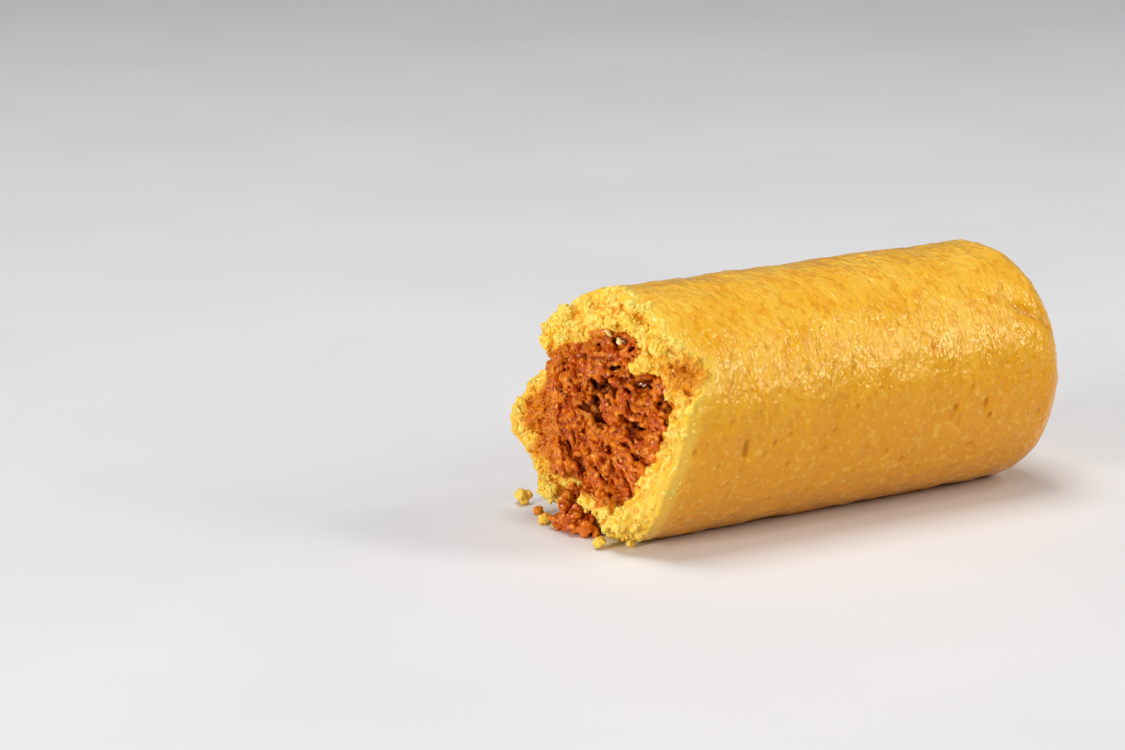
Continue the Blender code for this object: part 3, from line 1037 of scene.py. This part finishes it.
def corn_grits():
    """Boiled corn grits: pale, waxy and half clear."""
    material, tree, place = new_material("boiled corn grits")
    colour = specked(tree, place, linear("#F6CE7C"), linear("#FBE0A4"), 0.8 * MM, 0.35, 0.65, 1.0)
    surfaced(tree, place, colour, 0.4 * MM, 0.05 * MM, {
        "Roughness": 0.3,
        "Subsurface Weight": 0.5,
        "Subsurface Radius": (1.0, 0.7, 0.4),
        "Subsurface Scale": 1.0 * MM,
    })
    return material


# ---------------------------------------------------------------- stage


def make_floor():
    """Plain pale tabletop, a little warm, with a faint mottle."""
    material, tree, place = new_material("pale tabletop")
    colour = specked(tree, place, linear("#E6E6E8"), linear("#EAEAEC"), 60.0 * MM, 0.3, 0.7, 1.0)
    surfaced(tree, place, colour, 2.0 * MM, 0.02 * MM, {"Roughness": 0.6})
    half = 3.0
    corners = np.array([(-half, -half, 0), (half, -half, 0), (half, half, 0), (-half, half, 0)])
    mesh = mesh_of("tabletop", corners, [np.array([(0, 1, 2, 3)])])
    mesh.materials.append(material)
    floor = bpy.data.objects.new("tabletop", mesh)
    bpy.context.scene.collection.objects.link(floor)


def make_light(name, place, size, power, along=(0.0, 0.0, 1.0), colour=(1.0, 1.0, 1.0)):
    """Soft rectangular light at a place, facing the roll, with its second side along a direction."""
    lamp = bpy.data.lights.new(name, "AREA")
    lamp.shape = "RECTANGLE"
    lamp.size, lamp.size_y = size
    lamp.energy = power
    lamp.color = colour
    made = bpy.data.objects.new(name, lamp)
    bpy.context.scene.collection.objects.link(made)
    away = (Vector(place) - Vector((0.0, 0.0, AXIS_HEIGHT))).normalized()
    side = Vector(along).cross(away).normalized()
    turned = Matrix((side, away.cross(side), away)).transposed().to_4x4()
    turned.translation = place
    made.matrix_world = turned


def make_lights():
    """Studio light: a sheet above, a long thin strip off the closed end that draws the glints
    along the roll's upper near side, and a soft box that faces the torn end."""
    make_light("overhead sheet", (-0.15, -0.06, 1.0), (0.6, 0.5), 6.0, (0.0, 1.0, 0.0))
    make_light("glint lamp", (0.5, 0.47, 0.36), (0.2, 0.3), 1.9, (-0.82, -0.2, 0.53), (1.0, 0.95, 0.88))
    make_light("upper glint lamp", (0.265, 0.465, 0.57), (0.1, 0.15), 0.6, (-0.82, -0.2, 0.53), (1.0, 0.95, 0.88))
    make_light("torn end soft box", (0.12, -0.74, 0.2), (0.2, 0.2), 3.5)
    world = bpy.data.worlds.new("white studio")
    bpy.context.scene.world = world
    world.use_nodes = True
    world.node_tree.nodes["Background"].inputs["Color"].default_value = (1.0, 1.0, 1.0, 1.0)
    world.node_tree.nodes["Background"].inputs["Strength"].default_value = 0.15


# The camera stands off the torn end's near side, with the roll right of the picture's middle
CAMERA_AZIMUTH = 56.5
CAMERA_ELEVATION = 13.3
CAMERA_DISTANCE = 515.2 * MM
LENS = 112.0
AIM_ALONG = 2.3 * MM
AIM_LEFT = 36.5 * MM
AIM_UP = 17.9 * MM


def make_camera():
    turn, rise = math.radians(CAMERA_AZIMUTH), math.radians(CAMERA_ELEVATION)
    back = Vector((math.sin(turn) * math.cos(rise), -math.cos(turn) * math.cos(rise), math.sin(rise)))
    right = Vector((math.cos(turn), math.sin(turn), 0.0))
    up = back.cross(right)
    lens = bpy.data.cameras.new("studio camera")
    lens.lens = LENS
    lens.sensor_width = 36.0
    lens.clip_start = 0.01
    camera = bpy.data.objects.new("studio camera", lens)
    bpy.context.scene.collection.objects.link(camera)
    aim = Vector((0.0, AIM_ALONG, 0.0)) - right * AIM_LEFT + up * AIM_UP
    place = Matrix((right, up, back)).transposed().to_4x4()
    place.translation = aim + back * CAMERA_DISTANCE
    camera.matrix_world = place
    bpy.context.scene.camera = camera


def main():
    skin, beef = steamed_masa(), chilli_beef()
    torn, grains = torn_masa("torn corn masa", 0.45), torn_masa("torn corn masa grains", 0.0)
    make_masa_wall(skin)
    make_torn_masa(torn, grains)
    make_filling_core(beef)
    make_broken_meat(beef)
    make_meat_shreds(beef)
    make_spill(beef)
    make_corn_grains(corn_grits())
    make_fallen_crumbs(torn)
    make_floor()
    make_lights()
    make_camera()
    bpy.context.scene.view_settings.view_transform = "Standard"


main()
